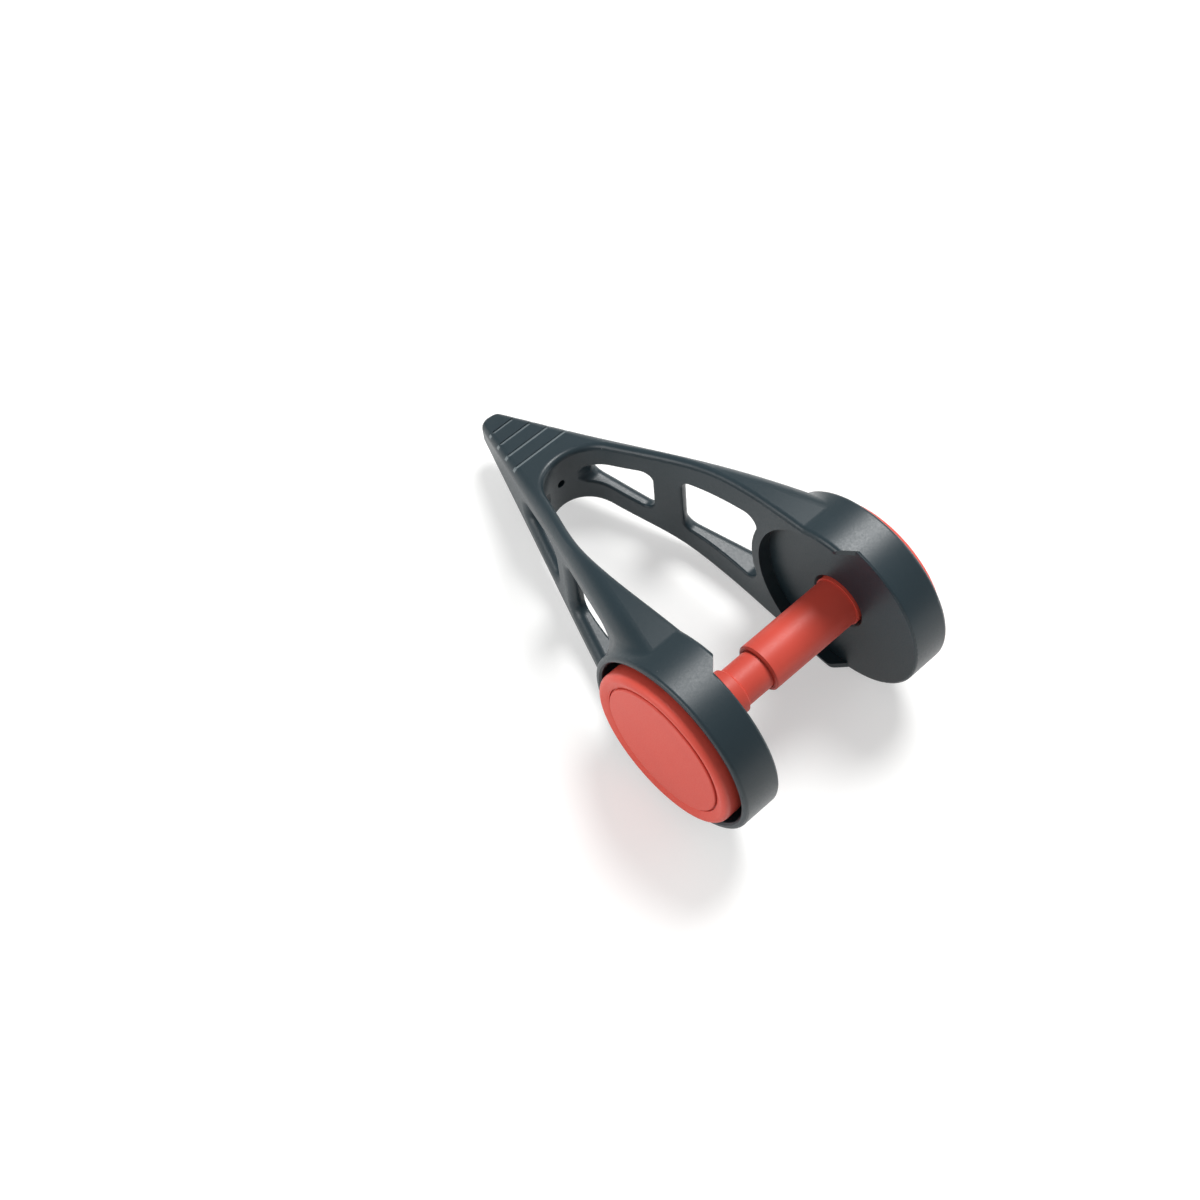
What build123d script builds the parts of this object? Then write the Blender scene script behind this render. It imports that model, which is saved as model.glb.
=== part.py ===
"""Thread bobbin holder: a one-piece V frame whose two housings carry a two-part spindle with red caps.

X runs along the spindle, Y from the spindle to the nose, Z up. The origin is the middle of the spindle.
All sizes are millimetres. Left is -X, right is +X.
"""

from build123d import *
import os
from math import cos, radians, sin

os.makedirs("parts", exist_ok=True)

# Frame, seen from above
nose_tip_y = 52.4
nose_tip_radius = 2.4
nose_half_width = 2.25
arm_spread = 0.328
crotch_setback = 1.0
crotch_radius = 5.5
crotch_lean = 18.0
inner_waist_x = 8.65
pad_x = 9.9
pad_straight_y = 10.5
pad_end_y = -0.5
pad_end_round = 1.0
lip_x = 17.1

# Frame, seen from the side
nose_half_height = 1.55
neck_y = 39.0
neck_half_height = 4.85
waist_y = 24.0
waist_drop = 3.85
shoulder_y = 12.0
shoulder_drop = 1.55
root_drop = 0.45
root_y = -1.0

# Rounding of the frame's edges
nose_edge_round = 0.8
nose_end_round = 0.5
root_edge_round = 3.2
inner_edge_round = 0.7
web_round = 2.0

# Housings at the ends of the arms
floor_x = 11.65
housing_wall = 1.75
cup_wall = 0.95
pocket_wall = 0.9
lip_round = 0.5
rim_round = 0.25
floor_edge = 0.3

# Windows in the arms
front_window_tip_gap = 0.5
front_window_tip_half = 1.35
front_window_back_y = 28.5
front_window_back_half = 3.9
front_window_round = 1.3
rear_window_front_y = 24.4
rear_window_front_half = 4.6
rear_window_slope = 0.18
rear_window_back_gap = 0.5
rear_window_round = 1.6
outer_rim_share = 0.6
inner_rim_share = 0.16

# Grip grooves across the nose
groove_count = 4
groove_first_y = 41.4
groove_pitch = 2.6
groove_width = 0.5
groove_depth = 0.2
groove_margin = 0.75

# Thread way through the nose
ring_radius = 1.15
ring_eye_radius = 0.6
ring_length = 2.0
ring_proud = 0.25
ring_round = 0.2

# Caps
cap_radius = 10.95
cap_gap = 0.9
cap_rim_width = 1.8
cap_proud = 1.4
cap_edge_round = 0.8
cap_back_round = 0.3
cover_thickness = 0.9
cover_step = 0.15
cover_gap = 0.2
cover_flange = 0.4
cover_edge_round = 0.2
boss_radius = 4.6
boss_clearance = 0.4

# Spindle
sleeve_radius = 3.3
sleeve_mouth_x = -2.33
journal_step = 0.2
journal_reach = 0.15
pin_radius = 2.7
pin_end_x = 4.0
collar_radius = 3.1
collar_end_x = -6.4
spindle_edge = 0.25
bore_edge = 0.4
screw_radius = 2.0
screw_root_depth = 0.35
screw_end_x = 8.0
screw_head_radius = 3.2
screw_head_height = 1.8
screw_socket_radius = 1.45
screw_socket_depth = 1.1
screw_edge = 0.2
insert_start_x = 5.2
insert_length = 6.0
insert_end_gap = 0.2

# Drag stack in the left cup
washer_bore_gap = 0.2
washer_inset = 2.0
friction_washer_thickness = 0.5
spring_thickness = 0.35
spring_rise = 0.25
thrust_washer_thickness = 0.4

# Fits
running_fit = 0.08
seat_fit = 0.02
face_gap = 0.03

# Places that follow from the sizes above
cup_floor_x = floor_x + housing_wall
cup_radius = cap_radius + cap_gap
housing_radius = cup_radius + cup_wall
pocket_radius = housing_radius - pocket_wall
nose_centre_y = nose_tip_y - nose_tip_radius
nose_slope = (neck_half_height - nose_half_height) / (nose_tip_y - neck_y)
nose_middle_y = (nose_tip_y + neck_y) / 2
crotch_y = neck_y - crotch_setback
crotch_centre_y = crotch_y - crotch_radius
front_window_tip_y = crotch_y - front_window_tip_gap
pad_foot_y = pad_end_y - (floor_x - pad_x)
arm_root_x = lip_x - cup_wall
rear_window_back_radius = housing_radius + rear_window_back_gap
arm_wall = nose_half_width + arm_spread * (nose_centre_y - waist_y) - inner_waist_x
outer_rim_round = outer_rim_share * arm_wall
inner_rim_round = inner_rim_share * arm_wall

# Stations outward from the spindle's middle, the same on both sides
washer_x = cup_floor_x + face_gap
shoulder_x = washer_x + friction_washer_thickness + face_gap
spring_crest_x = shoulder_x + spring_rise
outer_spring_x = spring_crest_x + spring_thickness + face_gap
thrust_x = outer_spring_x + spring_rise + spring_thickness + face_gap
cap_back_x = thrust_x + thrust_washer_thickness + face_gap
cap_front_x = lip_x + cap_proud
cover_front_x = cap_front_x - cover_step
cover_back_x = cover_front_x - cover_thickness
recess_x = cover_back_x - face_gap
recess_radius = cap_radius - cap_rim_width
cover_radius = recess_radius - cover_gap
washer_inner_radius = boss_radius + washer_bore_gap
washer_outer_radius = cap_radius - washer_inset
boss_end_x = cup_floor_x + boss_clearance
journal_radius = sleeve_radius + journal_step
journal_x = floor_x - journal_reach
sleeve_bore_radius = pin_radius + running_fit
sleeve_bore_end_x = insert_start_x + insert_length + insert_end_gap
screw_seat_x = recess_x - screw_head_height - face_gap


def outer_x(y):
    """Half width of the V at its outer sides."""
    return nose_half_width + arm_spread * (nose_centre_y - y)


def nose_top(y):
    """Height of the nose's top above the middle plane."""
    return neck_half_height - nose_slope * (y - neck_y)


def edge_round(y):
    """Rounding of the outer long edges, which grows from the nose to the housings."""
    return nose_edge_round + (root_edge_round - nose_edge_round) * (nose_tip_y - y) / (nose_tip_y - root_y)


# One-piece frame
with BuildPart() as frame:
    # Nose and arms as one tapering body with rounded outer edges
    heights = {
        nose_tip_y: nose_half_height,
        nose_middle_y: nose_top(nose_middle_y),
        neck_y: neck_half_height,
        waist_y: housing_radius - waist_drop,
        shoulder_y: housing_radius - shoulder_drop,
        root_y: housing_radius - root_drop,
    }
    for y, half_height in heights.items():
        with BuildSketch(Plane.XZ.offset(-y)):
            RectangleRounded(2 * outer_x(y), 2 * half_height, edge_round(y))
    loft()
    # Round end of the nose
    with BuildSketch(Plane.XY):
        with Locations((0, nose_centre_y)):
            Rectangle(6 * nose_tip_radius, 2 * nose_tip_radius, align=(Align.CENTER, Align.MIN))
            Circle(nose_tip_radius, mode=Mode.SUBTRACT)
    extrude(amount=housing_radius, both=True, mode=Mode.SUBTRACT)
    fillet(frame.faces().filter_by(GeomType.CYLINDER).edges(), radius=nose_end_round)
    # Roots trimmed inside the housings, the housings' round body, and the web that blends it into the arms
    with BuildSketch(Plane.XY):
        Rectangle(2 * arm_root_x, 4 * nose_tip_y)
    extrude(amount=2 * housing_radius, both=True, mode=Mode.INTERSECT)
    with BuildSketch(Plane.YZ):
        Circle(housing_radius)
    extrude(amount=lip_x, both=True)
    barrel = frame.faces().filter_by(GeomType.CYLINDER).sort_by(SortBy.AREA)[-1]
    fillet(barrel.edges().filter_by(GeomType.BSPLINE), radius=web_round)
    lips = frame.faces().filter_by(Plane.YZ).filter_by(lambda f: abs(abs(f.center().X) - lip_x) < 1e-3)
    fillet(lips.edges(), radius=lip_round)
    # Gap between the arms: round crotch, bowed inner faces and straight pads, with rounded inner edges
    with BuildSketch(Plane.XY):
        with BuildLine():
            lean = radians(crotch_lean)
            crotch_start = (crotch_radius * cos(lean), crotch_centre_y + crotch_radius * sin(lean))
            pad_start = (pad_x, pad_straight_y)
            behind_y = -2 * housing_radius
            CenterArc((0, crotch_centre_y), crotch_radius, crotch_lean, 90 - crotch_lean)
            bow_ends = ((0, 1), (-sin(lean), cos(lean)))
            Spline(pad_start, (inner_waist_x, waist_y), crotch_start, tangents=bow_ends)
            Polyline(pad_start, (pad_x, behind_y), (0, behind_y))
            mirror(about=Plane.YZ)
        make_face()
    extrude(amount=2 * housing_radius, both=True, mode=Mode.SUBTRACT)
    gap_faces = frame.faces(Select.LAST).filter_by(lambda f: abs(f.normal_at(f.center()).Z) < 0.01)
    gap_faces = gap_faces.filter_by(lambda f: abs(f.center().X) < pad_x + 0.01)
    fillet(gap_faces.edges().filter_by(Axis.Z, reverse=True), radius=inner_edge_round)
    # Two windows through each arm, with softly rounded outer rims
    with BuildSketch(Plane.YZ) as front_window:
        with BuildLine():
            front_tip = (front_window_tip_y, front_window_tip_half)
            front_back = (front_window_back_y, front_window_back_half)
            Polyline((front_window_tip_y, 0), front_tip, front_back, (front_window_back_y, 0))
            mirror(about=Plane.XZ)
        make_face()
        fillet(front_window.vertices(), radius=front_window_round)
    with BuildSketch(Plane.YZ) as rear_window:
        with BuildLine():
            rear_front = (rear_window_front_y, rear_window_front_half)
            rear_back = (0, rear_window_front_half + rear_window_slope * rear_window_front_y)
            Polyline((rear_window_front_y, 0), rear_front, rear_back, (0, 0))
            mirror(about=Plane.XZ)
        make_face()
        Circle(rear_window_back_radius, mode=Mode.SUBTRACT)
        fillet(rear_window.vertices(), radius=rear_window_round)
    for window in (front_window, rear_window):
        extrude(window.sketch, amount=2 * lip_x, both=True, mode=Mode.SUBTRACT)
        walls = frame.faces(Select.LAST).filter_by(lambda f: abs(f.normal_at(f.center()).X) < 0.01)
        rims = walls.edges().filter_by(Axis.X, reverse=True)
        outer_rims = rims.filter_by(lambda e: abs((e @ 0.5).X) > outer_x((e @ 0.5).Y) - outer_rim_round)
        inner_rims = rims.filter_by(lambda e: abs((e @ 0.5).X) < outer_x((e @ 0.5).Y) - outer_rim_round)
        fillet(inner_rims, radius=inner_rim_round)
        fillet(outer_rims, radius=outer_rim_round)
    # Behind the spindle the inner faces step back, with a rounded end to each arm's pad
    with BuildSketch(Plane.XY) as step_back:
        with BuildLine():
            Polyline((0, 0), (pad_x, 0), (pad_x, pad_end_y), (floor_x, pad_foot_y))
            Polyline((floor_x, pad_foot_y), (floor_x, behind_y), (0, behind_y))
            mirror(about=Plane.YZ)
        make_face()
        pad_corners = step_back.vertices().filter_by(lambda v: abs(v.Y - pad_end_y) < 1e-6)
        fillet(pad_corners, radius=pad_end_round)
    extrude(amount=2 * housing_radius, both=True, mode=Mode.SUBTRACT)
    floors = frame.faces().filter_by(Plane.YZ).filter_by(lambda f: abs(abs(f.center().X) - floor_x) < 1e-3)
    back_rims = floors.edges().filter_by(GeomType.CIRCLE)
    fillet(back_rims, radius=floor_edge)
    # Spool pocket between the housings, and a cup for the cap on each outer side
    with BuildSketch(Plane.YZ):
        Circle(pocket_radius)
    extrude(amount=floor_x, both=True, mode=Mode.SUBTRACT)
    for side in (1, -1):
        with BuildSketch(Plane.YZ.offset(side * cup_floor_x)):
            Circle(cup_radius)
        extrude(amount=side * (lip_x - cup_floor_x), mode=Mode.SUBTRACT)
    lips = frame.faces().filter_by(Plane.YZ).filter_by(lambda f: abs(abs(f.center().X) - lip_x) < 1e-3)
    cup_rims = lips.edges().filter_by(GeomType.CIRCLE).filter_by(lambda e: e.radius < cup_radius + 1e-3)
    chamfer(cup_rims, length=rim_round)
    # Bores for the spindle: the sleeve's journal on the right, the pin's collar on the left
    with BuildSketch(Plane.YZ):
        Circle(journal_radius + running_fit)
    extrude(amount=lip_x, mode=Mode.SUBTRACT)
    with BuildSketch(Plane.YZ):
        Circle(collar_radius + running_fit)
    extrude(amount=-lip_x, mode=Mode.SUBTRACT)
    rings = frame.edges().filter_by(GeomType.CIRCLE).filter_by(lambda e: e.radius < boss_radius)
    bore_rims = rings.filter_by(lambda e: abs(abs(e.center().X) - floor_x) < 1e-3)
    chamfer(bore_rims, length=bore_edge)
    # Thread hole along the nose, with a seat for the ceramic ring at the tip
    with BuildSketch(Plane.XZ.offset(-nose_tip_y)):
        Circle(ring_eye_radius)
    extrude(amount=nose_tip_y - crotch_centre_y, mode=Mode.SUBTRACT)
    with BuildSketch(Plane.XZ.offset(-nose_tip_y)):
        Circle(ring_radius + seat_fit)
    extrude(amount=ring_length - ring_proud, mode=Mode.SUBTRACT)
    # Grip grooves across the top and bottom of the nose
    for face_side in (1, -1):
        for i in range(groove_count):
            y = groove_first_y + i * groove_pitch
            groove_place = (0, y, face_side * nose_top(y))
            with BuildSketch(Plane(groove_place, x_dir=(1, 0, 0), z_dir=(0, nose_slope, face_side))):
                SlotOverall(2 * (outer_x(y) - groove_margin), groove_width)
            extrude(amount=groove_depth, both=True, mode=Mode.SUBTRACT)

frame.part.label = "frame"
export_step(frame.part, "parts/frame.step")

# Ceramic ring that the thread leaves through
with BuildPart() as guide_ring:
    with BuildSketch(Plane.XZ.offset(-nose_tip_y - ring_proud)):
        Circle(ring_radius)
        Circle(ring_eye_radius, mode=Mode.SUBTRACT)
    extrude(amount=ring_length)
    fillet(guide_ring.edges().filter_by(GeomType.CIRCLE), radius=ring_round)

guide_ring.part.label = "guide_ring"
export_step(guide_ring.part, "parts/guide_ring.step")

# Left cap with the collar and pin of the spindle, hollow for the screw
with BuildPart() as drag_knob:
    with BuildSketch(Plane.XY) as knob_profile:
        with BuildLine():
            screw_hole_radius = screw_radius + seat_fit
            head_hole_radius = screw_head_radius + running_fit
            Polyline(
                (pin_end_x, screw_hole_radius),
                (pin_end_x, pin_radius),
                (collar_end_x, pin_radius),
                (collar_end_x, collar_radius),
                (-boss_end_x, collar_radius),
                (-boss_end_x, boss_radius),
                (-cap_back_x, boss_radius),
                (-cap_back_x, cap_radius),
                (-cap_front_x, cap_radius),
                (-cap_front_x, recess_radius),
                (-recess_x, recess_radius),
                (-recess_x, head_hole_radius),
                (-screw_seat_x, head_hole_radius),
                (-screw_seat_x, screw_hole_radius),
                close=True,
            )
        make_face()
        fillet(knob_profile.vertices().group_by(Axis.Y)[-1].sort_by(Axis.X)[0], radius=cap_edge_round)
        fillet(knob_profile.vertices().group_by(Axis.Y)[-1].sort_by(Axis.X)[-1], radius=cap_back_round)
        chamfer(knob_profile.vertices().group_by(Axis.X)[-1].sort_by(Axis.Y)[-1], length=spindle_edge)
        collar_corner = knob_profile.vertices().filter_by(lambda v: abs(v.X - collar_end_x) < 1e-6)
        chamfer(collar_corner.sort_by(Axis.Y)[-1], length=spindle_edge)
    revolve(axis=Axis.X)

drag_knob.part.label = "drag_knob"
export_step(drag_knob.part, "parts/drag_knob.step")

# Snap-in cover of the left cap
with BuildPart() as drag_cover:
    with BuildSketch(Plane.YZ.offset(-cover_back_x)):
        Circle(recess_radius - seat_fit)
    extrude(amount=-cover_flange)
    with BuildSketch(Plane.YZ.offset(-cover_back_x)):
        Circle(cover_radius)
    extrude(amount=-cover_thickness)
    fillet(drag_cover.edges().sort_by(Axis.X)[0], radius=cover_edge_round)

drag_cover.part.label = "drag_cover"
export_step(drag_cover.part, "parts/drag_cover.step")

# Screw under the left cover that draws the two caps together, with its shank at the root of the thread
with BuildPart() as drag_screw:
    with BuildSketch(Plane.YZ.offset(-screw_seat_x - face_gap)):
        Circle(screw_head_radius)
    extrude(amount=-screw_head_height)
    chamfer(drag_screw.edges().sort_by(Axis.X)[0], length=screw_edge)
    with BuildSketch(Plane.YZ.offset(screw_end_x)):
        Circle(screw_radius - screw_root_depth)
    extrude(amount=-screw_end_x - screw_seat_x - screw_head_height / 2)
    chamfer(drag_screw.edges().sort_by(Axis.X)[-1], length=screw_edge)
    with BuildSketch(Plane.YZ.offset(-screw_seat_x - face_gap - screw_head_height)):
        RegularPolygon(screw_socket_radius, 6)
    extrude(amount=screw_socket_depth, mode=Mode.SUBTRACT)

drag_screw.part.label = "drag_screw"
export_step(drag_screw.part, "parts/drag_screw.step")

# Flat friction washer on the left cup's floor
with BuildPart() as drag_friction_washer:
    with BuildSketch(Plane.YZ.offset(-washer_x)):
        Circle(washer_outer_radius)
        Circle(washer_inner_radius, mode=Mode.SUBTRACT)
    extrude(amount=-friction_washer_thickness)

drag_friction_washer.part.label = "drag_friction_washer"
export_step(drag_friction_washer.part, "parts/drag_friction_washer.step")

# Two disc springs set crown to crown
with BuildPart() as drag_spring_inner:
    with BuildSketch(Plane.XY):
        with BuildLine():
            Polyline(
                (-shoulder_x, washer_outer_radius),
                (-shoulder_x - spring_thickness, washer_outer_radius),
                (-spring_crest_x - spring_thickness, washer_inner_radius),
                (-spring_crest_x, washer_inner_radius),
                close=True,
            )
        make_face()
    revolve(axis=Axis.X)

drag_spring_inner.part.label = "drag_spring_inner"
export_step(drag_spring_inner.part, "parts/drag_spring_inner.step")

with BuildPart() as drag_spring_outer:
    with BuildSketch(Plane.XY):
        with BuildLine():
            Polyline(
                (-outer_spring_x, washer_inner_radius),
                (-outer_spring_x - spring_thickness, washer_inner_radius),
                (-outer_spring_x - spring_rise - spring_thickness, washer_outer_radius),
                (-outer_spring_x - spring_rise, washer_outer_radius),
                close=True,
            )
        make_face()
    revolve(axis=Axis.X)

drag_spring_outer.part.label = "drag_spring_outer"
export_step(drag_spring_outer.part, "parts/drag_spring_outer.step")

# Flat steel washer between the springs and the left cap
with BuildPart() as drag_thrust_washer:
    with BuildSketch(Plane.YZ.offset(-thrust_x)):
        Circle(washer_outer_radius)
        Circle(washer_inner_radius, mode=Mode.SUBTRACT)
    extrude(amount=-thrust_washer_thickness)

drag_thrust_washer.part.label = "drag_thrust_washer"
export_step(drag_thrust_washer.part, "parts/drag_thrust_washer.step")

# Right cap with the spindle's sleeve
with BuildPart() as sleeve_knob:
    with BuildSketch(Plane.XY) as sleeve_profile:
        with BuildLine():
            Polyline(
                (sleeve_mouth_x, sleeve_bore_radius),
                (sleeve_mouth_x, sleeve_radius),
                (journal_x, sleeve_radius),
                (journal_x, journal_radius),
                (boss_end_x, journal_radius),
                (boss_end_x, boss_radius),
                (shoulder_x, boss_radius),
                (shoulder_x, washer_outer_radius),
                (cap_back_x, washer_outer_radius),
                (cap_back_x, cap_radius),
                (cap_front_x, cap_radius),
                (cap_front_x, recess_radius),
                (recess_x, recess_radius),
                (recess_x, 0),
                (sleeve_bore_end_x, 0),
                (sleeve_bore_end_x, sleeve_bore_radius),
                close=True,
            )
        make_face()
        fillet(sleeve_profile.vertices().group_by(Axis.Y)[-1].sort_by(Axis.X)[-1], radius=cap_edge_round)
        fillet(sleeve_profile.vertices().group_by(Axis.Y)[-1].sort_by(Axis.X)[0], radius=cap_back_round)
        chamfer(sleeve_profile.vertices().group_by(Axis.X)[0].sort_by(Axis.Y)[-1], length=spindle_edge)
    revolve(axis=Axis.X)

sleeve_knob.part.label = "sleeve_knob"
export_step(sleeve_knob.part, "parts/sleeve_knob.step")

# Snap-in cover of the right cap
with BuildPart() as sleeve_cover:
    with BuildSketch(Plane.YZ.offset(cover_back_x)):
        Circle(recess_radius - seat_fit)
    extrude(amount=cover_flange)
    with BuildSketch(Plane.YZ.offset(cover_back_x)):
        Circle(cover_radius)
    extrude(amount=cover_thickness)
    fillet(sleeve_cover.edges().sort_by(Axis.X)[-1], radius=cover_edge_round)

sleeve_cover.part.label = "sleeve_cover"
export_step(sleeve_cover.part, "parts/sleeve_cover.step")

# Brass nut bush inside the sleeve for the screw
with BuildPart() as sleeve_insert:
    with BuildSketch(Plane.YZ.offset(insert_start_x)):
        Circle(sleeve_bore_radius - seat_fit)
        Circle(screw_radius + running_fit, mode=Mode.SUBTRACT)
    extrude(amount=insert_length)

sleeve_insert.part.label = "sleeve_insert"
export_step(sleeve_insert.part, "parts/sleeve_insert.step")

# Flat friction washer on the right cup's floor
with BuildPart() as sleeve_friction_washer:
    with BuildSketch(Plane.YZ.offset(washer_x)):
        Circle(washer_outer_radius)
        Circle(washer_inner_radius, mode=Mode.SUBTRACT)
    extrude(amount=friction_washer_thickness)

sleeve_friction_washer.part.label = "sleeve_friction_washer"
export_step(sleeve_friction_washer.part, "parts/sleeve_friction_washer.step")
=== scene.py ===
"""Looks of the thread bobbin holder: plastics and metals, cap rims, screw thread, floor, light, camera."""

from math import cos, hypot, pi, radians, sin

import bmesh
import bpy
from mathutils import Matrix, Vector


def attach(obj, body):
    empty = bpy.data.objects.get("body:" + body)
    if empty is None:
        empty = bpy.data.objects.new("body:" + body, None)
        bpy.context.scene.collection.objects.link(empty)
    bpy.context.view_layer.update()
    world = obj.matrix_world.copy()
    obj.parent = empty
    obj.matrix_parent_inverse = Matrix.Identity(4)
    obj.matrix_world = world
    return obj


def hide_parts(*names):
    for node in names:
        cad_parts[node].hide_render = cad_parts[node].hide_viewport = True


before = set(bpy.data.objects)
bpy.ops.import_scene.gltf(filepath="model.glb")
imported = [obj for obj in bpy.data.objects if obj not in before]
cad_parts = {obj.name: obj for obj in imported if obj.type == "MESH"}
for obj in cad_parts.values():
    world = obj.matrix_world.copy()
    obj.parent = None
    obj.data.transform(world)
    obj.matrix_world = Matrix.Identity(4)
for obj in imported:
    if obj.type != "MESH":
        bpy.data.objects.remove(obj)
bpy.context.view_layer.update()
scene = bpy.context.scene
mm = 0.001


# Sizes of the frame, caps and screw that the finishes and the added pieces follow, in millimetres

neck_y = 39.0
neck_half_height = 4.85
nose_tip_y = 52.4
nose_half_height = 1.55
nose_slope = (neck_half_height - nose_half_height) / (nose_tip_y - neck_y)

groove_count = 4
groove_first_y = 41.4
groove_pitch = 2.6
groove_half_width = 0.275
groove_wall_depth = 0.09
groove_floor_depth = 0.16
groove_limit_depth = 0.45

cap_front_x = 18.5
recess_radius = 9.15
bead_drop = 0.38
mesh_tolerance = 0.02

screw_radius = 2.0
screw_root_depth = 0.35
thread_pitch = 0.7
thread_depth = 0.33
thread_start = -13.4
thread_end = 7.7
bore_margin = 0.15

housing_radius = 12.8
floor_gap = 0.02


# Node helpers

def add_node(tree, kind, **settings):
    """A node with its properties or, by socket name, its unlinked inputs set."""
    node = tree.nodes.new(kind)
    for name, value in settings.items():
        if hasattr(node, name) and name not in node.inputs:
            setattr(node, name, value)
        else:
            node.inputs[name.replace("_", " ")].default_value = value
    return node


def join(tree, out_socket, in_socket):
    tree.links.new(out_socket, in_socket)


def calc(tree, operation, *terms):
    """The result of a Math node, each of whose terms is a socket or a number."""
    node = add_node(tree, "ShaderNodeMath", operation=operation)
    for socket, term in zip(node.inputs, terms):
        if isinstance(term, (int, float)):
            socket.default_value = term
        else:
            join(tree, term, socket)
    return node.outputs["Value"]


def span(tree, source, low, high, to_low, to_high):
    """A value moved from one range to another."""
    node = add_node(tree, "ShaderNodeMapRange", From_Min=low, From_Max=high, To_Min=to_low, To_Max=to_high)
    join(tree, source, node.inputs["Value"])
    return node.outputs["Result"]


def place_on_piece(tree):
    """The Object coordinates, in metres."""
    return add_node(tree, "ShaderNodeTexCoord").outputs["Object"]


def split_place(tree, place):
    """The three parts of a place."""
    node = add_node(tree, "ShaderNodeSeparateXYZ")
    join(tree, place, node.inputs["Vector"])
    return node.outputs["X"], node.outputs["Y"], node.outputs["Z"]


def place_in_mm(tree):
    """The three Object coordinates in millimetres."""
    scaled = add_node(tree, "ShaderNodeVectorMath", operation="SCALE", Scale=1 / mm)
    join(tree, place_on_piece(tree), scaled.inputs[0])
    return split_place(tree, scaled.outputs["Vector"])


def reach_from_spindle(tree, y, z):
    """Distance from the spindle's axis."""
    return calc(tree, "SQRT", calc(tree, "ADD", calc(tree, "MULTIPLY", y, y), calc(tree, "MULTIPLY", z, z)))


def new_group(name, inputs, outputs):
    """A shader node group with float inputs and float outputs."""
    tree = bpy.data.node_groups.new(name, "ShaderNodeTree")
    for label, value in inputs:
        socket = tree.interface.new_socket(label, in_out="INPUT", socket_type="NodeSocketFloat")
        socket.default_value = value
    for label in outputs:
        tree.interface.new_socket(label, in_out="OUTPUT", socket_type="NodeSocketFloat")
    return tree, tree.nodes.new("NodeGroupInput"), tree.nodes.new("NodeGroupOutput")


# Shared surface effects

def spark_grain_group():
    """Fine grain that a spark-eroded mould leaves, with a slow drift of tone over the piece."""
    pit_share = 0.35
    tree, given, made = new_group("spark_grain", [("Grain Scale", 5000.0), ("Drift Scale", 70.0)],
                                  ["Height", "Drift", "Speck"])
    place = place_on_piece(tree)
    grain = add_node(tree, "ShaderNodeTexNoise", Detail=3.0, Roughness=0.6)
    drift = add_node(tree, "ShaderNodeTexNoise", Detail=2.0, Roughness=0.5)
    pits = add_node(tree, "ShaderNodeTexVoronoi", feature="F1")
    for texture, scale in ((grain, "Grain Scale"), (drift, "Drift Scale"), (pits, "Grain Scale")):
        join(tree, place, texture.inputs["Vector"])
        join(tree, given.outputs[scale], texture.inputs["Scale"])
    height = calc(tree, "MULTIPLY_ADD", pits.outputs["Distance"], pit_share, grain.outputs["Fac"])
    join(tree, height, made.inputs["Height"])
    join(tree, drift.outputs["Fac"], made.inputs["Drift"])
    join(tree, grain.outputs["Fac"], made.inputs["Speck"])
    return tree


def turned_marks_group():
    """Fine rings round the spindle's axis, as a lathe tool leaves, and streaks of tone."""
    tree, given, made = new_group("turned_marks", [("Ring Scale", 9000.0), ("Streak Scale", 2600.0)],
                                  ["Height", "Tone"])
    place = place_on_piece(tree)
    x, y, z = split_place(tree, place)
    rings = add_node(tree, "ShaderNodeTexNoise", noise_dimensions="1D", Detail=3.0, Roughness=0.65)
    streaks = add_node(tree, "ShaderNodeTexNoise", Detail=2.0)
    join(tree, calc(tree, "ADD", reach_from_spindle(tree, y, z), x), rings.inputs["W"])
    join(tree, given.outputs["Ring Scale"], rings.inputs["Scale"])
    join(tree, place, streaks.inputs["Vector"])
    join(tree, given.outputs["Streak Scale"], streaks.inputs["Scale"])
    join(tree, rings.outputs["Fac"], made.inputs["Height"])
    join(tree, streaks.outputs["Fac"], made.inputs["Tone"])
    return tree


def dust_specks_group():
    """Scattered specks of lint of uneven size, on about one cell in three of a coarse pattern."""
    share_of_cells = 0.34
    tree, given, made = new_group("dust_specks", [("Cell Scale", 420.0), ("Speck Size", 0.045)], ["Dust"])
    cells = add_node(tree, "ShaderNodeTexVoronoi", feature="F1")
    draw = add_node(tree, "ShaderNodeSeparateColor")
    join(tree, place_on_piece(tree), cells.inputs["Vector"])
    join(tree, given.outputs["Cell Scale"], cells.inputs["Scale"])
    join(tree, cells.outputs["Color"], draw.inputs["Color"])
    chosen = calc(tree, "LESS_THAN", draw.outputs["Red"], share_of_cells)
    size = calc(tree, "MULTIPLY", draw.outputs["Green"], given.outputs["Speck Size"])
    near = calc(tree, "LESS_THAN", cells.outputs["Distance"], size)
    join(tree, calc(tree, "MULTIPLY", chosen, near), made.inputs["Dust"])
    return tree


spark_grain = spark_grain_group()
turned_marks = turned_marks_group()
dust_specks = dust_specks_group()


# Materials

# Ranges in which most values of the noise textures lie
noise_low, noise_high = 0.3, 0.7
streak_low, streak_high = 0.35, 0.65
# A Mix node's two inputs and its output, for numbers and for colours
mix_sockets = {"FLOAT": (2, 3, 0), "RGBA": (6, 7, 2)}


def start_material(name):
    material = bpy.data.materials.new(name)
    material.use_nodes = True
    tree = material.node_tree
    return material, tree, tree.nodes["Principled BSDF"]


def tone_ramp(tree, source, low, high, dark, light):
    """A colour that goes from dark to light as the source goes from low to high."""
    node = add_node(tree, "ShaderNodeValToRGB")
    first, last = node.color_ramp.elements
    first.position, first.color = low, (*dark, 1.0)
    last.position, last.color = high, (*light, 1.0)
    join(tree, source, node.inputs["Fac"])
    return node.outputs["Color"]


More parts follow.
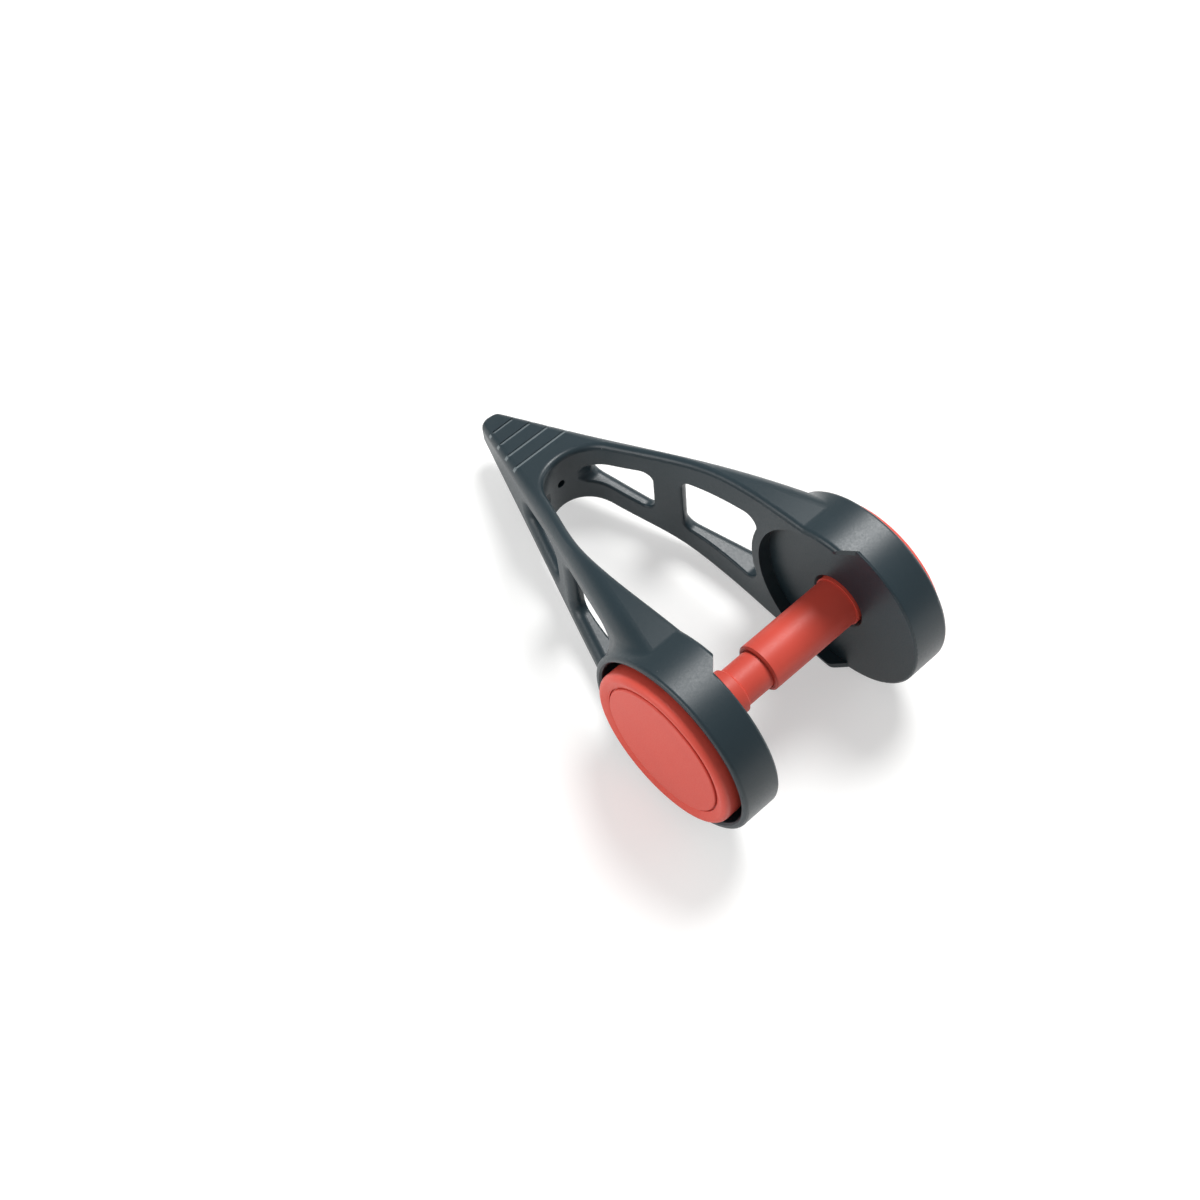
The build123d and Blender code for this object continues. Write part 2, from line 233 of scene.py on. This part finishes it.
def masked(tree, kind, source, mask, value):
    """A colour or number that turns to the given one where the mask is one."""
    node = add_node(tree, "ShaderNodeMix", data_type=kind)
    first, last, result = mix_sockets[kind]
    join(tree, mask, node.inputs["Factor"])
    join(tree, source, node.inputs[first])
    node.inputs[last].default_value = value
    return node.outputs[result]


def bumped(tree, shader, height, depth, strength):
    """Relief on the shader's normal, laid over any relief that is there already."""
    bump = add_node(tree, "ShaderNodeBump", Strength=strength, Distance=depth)
    join(tree, height, bump.inputs["Height"])
    for link in list(shader.inputs["Normal"].links):
        join(tree, link.from_socket, bump.inputs["Normal"])
    join(tree, bump.outputs["Normal"], shader.inputs["Normal"])


def moulded_plastic(name, dark, light, roughness, grain_scale, grain_depth, specular=0.5, lint=None):
    """Satin moulded plastic: a fine grain, a slow drift of tone, uneven gloss and a little lint."""
    material, tree, shader = start_material(name)
    grain = add_node(tree, "ShaderNodeGroup", node_tree=spark_grain, Grain_Scale=grain_scale)
    colour = tone_ramp(tree, grain.outputs["Drift"], noise_low, noise_high, dark, light)
    if lint:
        tint, cell_scale, speck_size = lint
        dust = add_node(tree, "ShaderNodeGroup", node_tree=dust_specks, Cell_Scale=cell_scale,
                        Speck_Size=speck_size)
        colour = masked(tree, "RGBA", colour, dust.outputs["Dust"], (*tint, 1.0))
    join(tree, colour, shader.inputs["Base Color"])
    dullness = span(tree, grain.outputs["Speck"], noise_low, noise_high, *roughness)
    join(tree, dullness, shader.inputs["Roughness"])
    shader.inputs["Specular IOR Level"].default_value = specular
    bumped(tree, shader, grain.outputs["Height"], grain_depth, strength=0.35)
    return material


def turned_metal(name, dark, light, roughness, ring_scale, ring_depth):
    """Metal with the fine rings of turning and uneven gloss."""
    material, tree, shader = start_material(name)
    marks = add_node(tree, "ShaderNodeGroup", node_tree=turned_marks, Ring_Scale=ring_scale)
    colour = tone_ramp(tree, marks.outputs["Tone"], streak_low, streak_high, dark, light)
    join(tree, colour, shader.inputs["Base Color"])
    dullness = span(tree, marks.outputs["Height"], noise_low, noise_high, *roughness)
    join(tree, dullness, shader.inputs["Roughness"])
    shader.inputs["Metallic"].default_value = 1.0
    bumped(tree, shader, marks.outputs["Height"], ring_depth, strength=0.5)
    return material


def paint_groove_highlights(material):
    """The floors of the nose's grip grooves are smoother than the grained skin beside them, and a paler
    colour is painted on them as a highlight, in place of the light they catch.
    """
    # Painted highlight: this pale tint stands in for the light caught by the groove floors
    painted_highlight_tint = (0.13, 0.155, 0.165)
    polished_roughness = 0.22
    slack_in_pitches = 0.2
    tree = material.node_tree
    shader = tree.nodes["Principled BSDF"]
    _, y, z = place_in_mm(tree)
    skin = calc(tree, "MULTIPLY_ADD", y, -nose_slope, neck_half_height + nose_slope * neck_y)
    depth = calc(tree, "SUBTRACT", skin, calc(tree, "ABSOLUTE", z))
    sunk = span(tree, depth, groove_wall_depth, groove_floor_depth, 0.0, 1.0)
    in_depth = calc(tree, "MULTIPLY", sunk, calc(tree, "LESS_THAN", depth, groove_limit_depth))
    steps = calc(tree, "DIVIDE", calc(tree, "SUBTRACT", y, groove_first_y), groove_pitch)
    aside = calc(tree, "ABSOLUTE", calc(tree, "SUBTRACT", steps, calc(tree, "ROUND", steps)))
    in_width = calc(tree, "LESS_THAN", aside, groove_half_width / groove_pitch)
    middle = (groove_count - 1) / 2
    from_middle = calc(tree, "ABSOLUTE", calc(tree, "SUBTRACT", steps, middle))
    in_row = calc(tree, "LESS_THAN", from_middle, middle + slack_in_pitches)
    mask = calc(tree, "MULTIPLY", in_depth, calc(tree, "MULTIPLY", in_width, in_row))
    # The groove floors get the painted highlight tint and a lower roughness
    for socket_name, kind, value in (("Base Color", "RGBA", (*painted_highlight_tint, 1.0)),
                                     ("Roughness", "FLOAT", polished_roughness)):
        socket = shader.inputs[socket_name]
        join(tree, masked(tree, kind, socket.links[0].from_socket, mask, value), socket)


def thread_bore(material):
    """The insert's bore shows its thread: one ridge for each pitch, leaning with the turn."""
    tree = material.node_tree
    shader = tree.nodes["Principled BSDF"]
    x, y, z = place_in_mm(tree)
    turn = calc(tree, "DIVIDE", calc(tree, "ARCTAN2", z, y), 2.0 * pi)
    wave = calc(tree, "PINGPONG", calc(tree, "SUBTRACT", calc(tree, "DIVIDE", x, thread_pitch), turn), 0.5)
    in_bore = calc(tree, "LESS_THAN", reach_from_spindle(tree, y, z), screw_radius + bore_margin)
    bumped(tree, shader, calc(tree, "MULTIPLY", wave, in_bore), 2.0 * thread_depth * mm, strength=1.0)


frame_plastic = moulded_plastic(
    "frame_plastic", dark=(0.009, 0.020, 0.026), light=(0.012, 0.025, 0.033), roughness=(0.33, 0.43),
    grain_scale=4200.0, grain_depth=6e-6, specular=0.4, lint=((0.12, 0.13, 0.13), 420.0, 0.045))
red_plastic = moulded_plastic(
    "red_plastic", dark=(0.58, 0.066, 0.044), light=(0.64, 0.078, 0.053), roughness=(0.40, 0.52),
    grain_scale=4200.0, grain_depth=6e-6, specular=0.3, lint=((0.72, 0.30, 0.25), 380.0, 0.035))
friction_plastic = moulded_plastic(
    "friction_plastic", dark=(0.78, 0.76, 0.69), light=(0.86, 0.84, 0.78), roughness=(0.42, 0.55),
    grain_scale=3000.0, grain_depth=8e-6)
guide_ceramic = moulded_plastic(
    "guide_ceramic", dark=(0.028, 0.028, 0.032), light=(0.05, 0.05, 0.055), roughness=(0.08, 0.16),
    grain_scale=9000.0, grain_depth=1e-6)
screw_steel = turned_metal(
    "screw_steel", dark=(0.52, 0.53, 0.56), light=(0.64, 0.65, 0.68), roughness=(0.24, 0.38),
    ring_scale=9000.0, ring_depth=4e-6)
spring_steel = turned_metal(
    "spring_steel", dark=(0.47, 0.47, 0.49), light=(0.53, 0.53, 0.55), roughness=(0.3, 0.42),
    ring_scale=6000.0, ring_depth=3e-6)
insert_brass = turned_metal(
    "insert_brass", dark=(0.64, 0.45, 0.17), light=(0.78, 0.58, 0.28), roughness=(0.22, 0.36),
    ring_scale=7000.0, ring_depth=4e-6)
# Painted highlight and smoother gloss on the nose's groove floors
paint_groove_highlights(frame_plastic)
thread_bore(insert_brass)

finishes = {
    "frame": frame_plastic,
    "guide_ring": guide_ceramic,
    "drag_knob": red_plastic,
    "drag_cover": red_plastic,
    "drag_screw": screw_steel,
    "drag_friction_washer": friction_plastic,
    "drag_spring_inner": spring_steel,
    "drag_spring_outer": spring_steel,
    "drag_thrust_washer": spring_steel,
    "sleeve_knob": red_plastic,
    "sleeve_cover": red_plastic,
    "sleeve_insert": insert_brass,
    "sleeve_friction_washer": friction_plastic,
}
for node_name, finish in finishes.items():
    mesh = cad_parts[node_name].data
    mesh.materials.clear()
    mesh.materials.append(finish)


# Rims of the caps

def beaded_knob(node_name, side):
    """A knob whose cap rim falls away inwards to the cover, so that it reads as a rounded bead."""
    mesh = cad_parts[node_name].data.copy()
    shape = bmesh.new()
    shape.from_mesh(mesh)
    bmesh.ops.remove_doubles(shape, verts=shape.verts, dist=1e-6)
    for vert in shape.verts:
        on_face = abs(vert.co.x / mm - side * cap_front_x) < mesh_tolerance
        on_edge = abs(hypot(vert.co.y, vert.co.z) / mm - recess_radius) < mesh_tolerance
        if on_face and on_edge:
            vert.co.x -= side * bead_drop * mm
    shape.to_mesh(mesh)
    shape.free()
    if "custom_normal" in mesh.attributes:
        mesh.attributes.remove(mesh.attributes["custom_normal"])
    mesh.shade_smooth()
    mesh.set_sharp_from_angle(angle=radians(32))
    piece = bpy.data.objects.new(node_name + "_beaded", mesh)
    scene.collection.objects.link(piece)
    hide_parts(node_name)
    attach(piece, node_name)


beaded_knob("drag_knob", -1)
beaded_knob("sleeve_knob", 1)


# Thread of the drag screw

def screw_thread_tree():
    """One ridge wound round the screw's shank, running out over its first and last turn."""
    end_share = 0.1
    tree = bpy.data.node_groups.new("screw_thread", "GeometryNodeTree")
    for label in ("Turns", "Pitch", "Shank Radius", "Ridge Height", "Start"):
        tree.interface.new_socket(label, in_out="INPUT", socket_type="NodeSocketFloat")
    tree.interface.new_socket("Steel", in_out="INPUT", socket_type="NodeSocketMaterial")
    tree.interface.new_socket("Thread", in_out="OUTPUT", socket_type="NodeSocketGeometry")
    given = tree.nodes.new("NodeGroupInput")
    made = tree.nodes.new("NodeGroupOutput")

    helix = add_node(tree, "GeometryNodeCurveSpiral", Resolution=36)
    upright = add_node(tree, "GeometryNodeSetCurveNormal", mode="Z_UP")
    join(tree, given.outputs["Turns"], helix.inputs["Rotations"])
    join(tree, given.outputs["Shank Radius"], helix.inputs["Start Radius"])
    join(tree, given.outputs["Shank Radius"], helix.inputs["End Radius"])
    length = calc(tree, "MULTIPLY", given.outputs["Turns"], given.outputs["Pitch"])
    join(tree, length, helix.inputs["Height"])
    join(tree, helix.outputs["Curve"], upright.inputs["Curve"])

    along = add_node(tree, "GeometryNodeSplineParameter").outputs["Factor"]
    from_end = calc(tree, "MINIMUM", along, calc(tree, "SUBTRACT", 1.0, along))
    turns_from_end = calc(tree, "MULTIPLY", from_end, given.outputs["Turns"])
    ridge = add_node(tree, "GeometryNodeCurvePrimitiveCircle", mode="RADIUS", Resolution=4)
    sweep = add_node(tree, "GeometryNodeCurveToMesh", Fill_Caps=True)
    join(tree, given.outputs["Ridge Height"], ridge.inputs["Radius"])
    join(tree, upright.outputs["Curve"], sweep.inputs["Curve"])
    join(tree, ridge.outputs["Curve"], sweep.inputs["Profile Curve"])
    join(tree, span(tree, turns_from_end, 0.0, 1.0, end_share, 1.0), sweep.inputs["Scale"])

    start = add_node(tree, "ShaderNodeCombineXYZ")
    lay = add_node(tree, "GeometryNodeTransform", Rotation=(0.0, pi / 2, 0.0))
    flat = add_node(tree, "GeometryNodeSetShadeSmooth", Shade_Smooth=False)
    whole = add_node(tree, "GeometryNodeRealizeInstances")
    finish = add_node(tree, "GeometryNodeSetMaterial")
    join(tree, given.outputs["Start"], start.inputs["X"])
    join(tree, start.outputs["Vector"], lay.inputs["Translation"])
    join(tree, sweep.outputs["Mesh"], lay.inputs["Geometry"])
    join(tree, lay.outputs["Geometry"], flat.inputs["Geometry"])
    join(tree, flat.outputs["Geometry"], whole.inputs["Geometry"])
    join(tree, whole.outputs["Geometry"], finish.inputs["Geometry"])
    join(tree, given.outputs["Steel"], finish.inputs["Material"])
    join(tree, finish.outputs["Geometry"], made.inputs["Thread"])
    return tree


def grown(name, tree, sizes):
    """The plain mesh that a node tree makes from the given sizes."""
    piece = bpy.data.objects.new(name, bpy.data.meshes.new(name))
    scene.collection.objects.link(piece)
    maker = piece.modifiers.new(name, "NODES")
    maker.node_group = tree
    for item in tree.interface.items_tree:
        if item.in_out == "INPUT":
            maker[item.identifier] = sizes[item.name]
    ready = piece.evaluated_get(bpy.context.evaluated_depsgraph_get())
    mesh = bpy.data.meshes.new_from_object(ready)
    piece.modifiers.clear()
    piece.data = mesh
    return piece


screw_thread = grown("drag_screw_thread", screw_thread_tree(), {
    "Turns": (thread_end - thread_start) / thread_pitch,
    "Pitch": thread_pitch * mm,
    "Shank Radius": (screw_radius - screw_root_depth) * mm,
    "Ridge Height": thread_depth * mm,
    "Start": thread_start * mm,
    "Steel": screw_steel,
})
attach(screw_thread, "drag_knob")


# Floor, on which the housings and the shoulders of the arms rest, with its lengths in metres

floor_tilt = radians(7.85)
floor_half_width = 2.0
glow_near, glow_far = 0.42, 0.8
glow_start, glow_end = 0.08, 0.5


def pale_floor():
    """Pale floor with the shadow near the object, fading to white away from it."""
    material, tree, shader = start_material("pale_floor")
    shader.inputs["Base Color"].default_value = (0.62, 0.62, 0.61, 1.0)
    shader.inputs["Roughness"].default_value = 0.75
    shader.inputs["Specular IOR Level"].default_value = 0.2
    path = add_node(tree, "ShaderNodeLightPath")
    away = add_node(tree, "ShaderNodeVectorMath", operation="LENGTH")
    glow = add_node(tree, "ShaderNodeEmission", Color=(1.0, 1.0, 1.0, 1.0))
    both = add_node(tree, "ShaderNodeAddShader")
    seen = calc(tree, "MAXIMUM", path.outputs["Is Camera Ray"], path.outputs["Is Glossy Ray"])
    shown = calc(tree, "MAXIMUM", seen, path.outputs["Is Transmission Ray"])
    join(tree, place_on_piece(tree), away.inputs[0])
    lift = span(tree, away.outputs["Value"], glow_start, glow_end, glow_near, glow_far)
    join(tree, calc(tree, "MULTIPLY", shown, lift), glow.inputs["Strength"])
    join(tree, shader.outputs["BSDF"], both.inputs[0])
    join(tree, glow.outputs["Emission"], both.inputs[1])
    join(tree, both.outputs["Shader"], tree.nodes["Material Output"].inputs["Surface"])
    return material


floor_up = Vector((0.0, -sin(floor_tilt), cos(floor_tilt)))
floor_across = Vector((1.0, 0.0, 0.0)) * floor_half_width
floor_along = floor_up.cross(floor_across)
foot = floor_up * -((housing_radius + floor_gap) * mm)
corners = [foot + floor_across * a + floor_along * b for a, b in ((-1, -1), (1, -1), (1, 1), (-1, 1))]
floor_mesh = bpy.data.meshes.new("floor")
floor_mesh.from_pydata([tuple(corner) for corner in corners], [], [(0, 1, 2, 3)])
floor_mesh.materials.append(pale_floor())
floor = bpy.data.objects.new("floor", floor_mesh)
scene.collection.objects.link(floor)


# Soft studio light

lit_middle = Vector((0.0, 0.02, 0.0))
room_light = 0.4
backdrop_white = 1.0


def soft_lamp(name, place, size, power):
    """A round soft lamp that faces the middle of the object."""
    lamp = bpy.data.lights.new(name, "AREA")
    lamp.shape = "DISK"
    lamp.size = size
    lamp.energy = power
    holder = bpy.data.objects.new(name, lamp)
    holder.location = place
    holder.rotation_mode = "QUATERNION"
    holder.rotation_quaternion = (lit_middle - Vector(place)).to_track_quat("-Z", "Y")
    scene.collection.objects.link(holder)


soft_lamp("key_lamp", place=(0.31, 0.10, 0.56), size=0.32, power=4.6)
soft_lamp("fill_lamp", place=(-0.55, 0.18, 0.26), size=0.45, power=2.2)
soft_lamp("side_lamp", place=(0.62, -0.22, 0.20), size=0.4, power=0.9)

world = bpy.data.worlds.new("studio")
scene.world = world
world.use_nodes = True
sky = world.node_tree
room = sky.nodes["Background"]
room.inputs["Color"].default_value = (1.0, 1.0, 1.0, 1.0)
camera_ray = add_node(sky, "ShaderNodeLightPath").outputs["Is Camera Ray"]
join(sky, span(sky, camera_ray, 0.0, 1.0, room_light, backdrop_white), room.inputs["Strength"])

scene.view_settings.view_transform = "Standard"


# Camera at the photograph's viewing angle

camera_data = bpy.data.cameras.new("camera")
camera_data.sensor_width = 36.0
camera_data.lens = 56.23
camera_data.clip_start = 0.01
camera_data.clip_end = 10.0
camera = bpy.data.objects.new("camera", camera_data)
eye = Vector((-87.97, -85.19, 191.04)) * mm
back = Vector((-0.3405, -0.4566, 0.8219)).normalized()
up = back.cross(Vector((0.7345, -0.6750, -0.0707))).normalized()
right = up.cross(back)
camera.matrix_world = Matrix.Translation(eye) @ Matrix((right, up, back)).transposed().to_4x4()
scene.collection.objects.link(camera)
scene.camera = camera
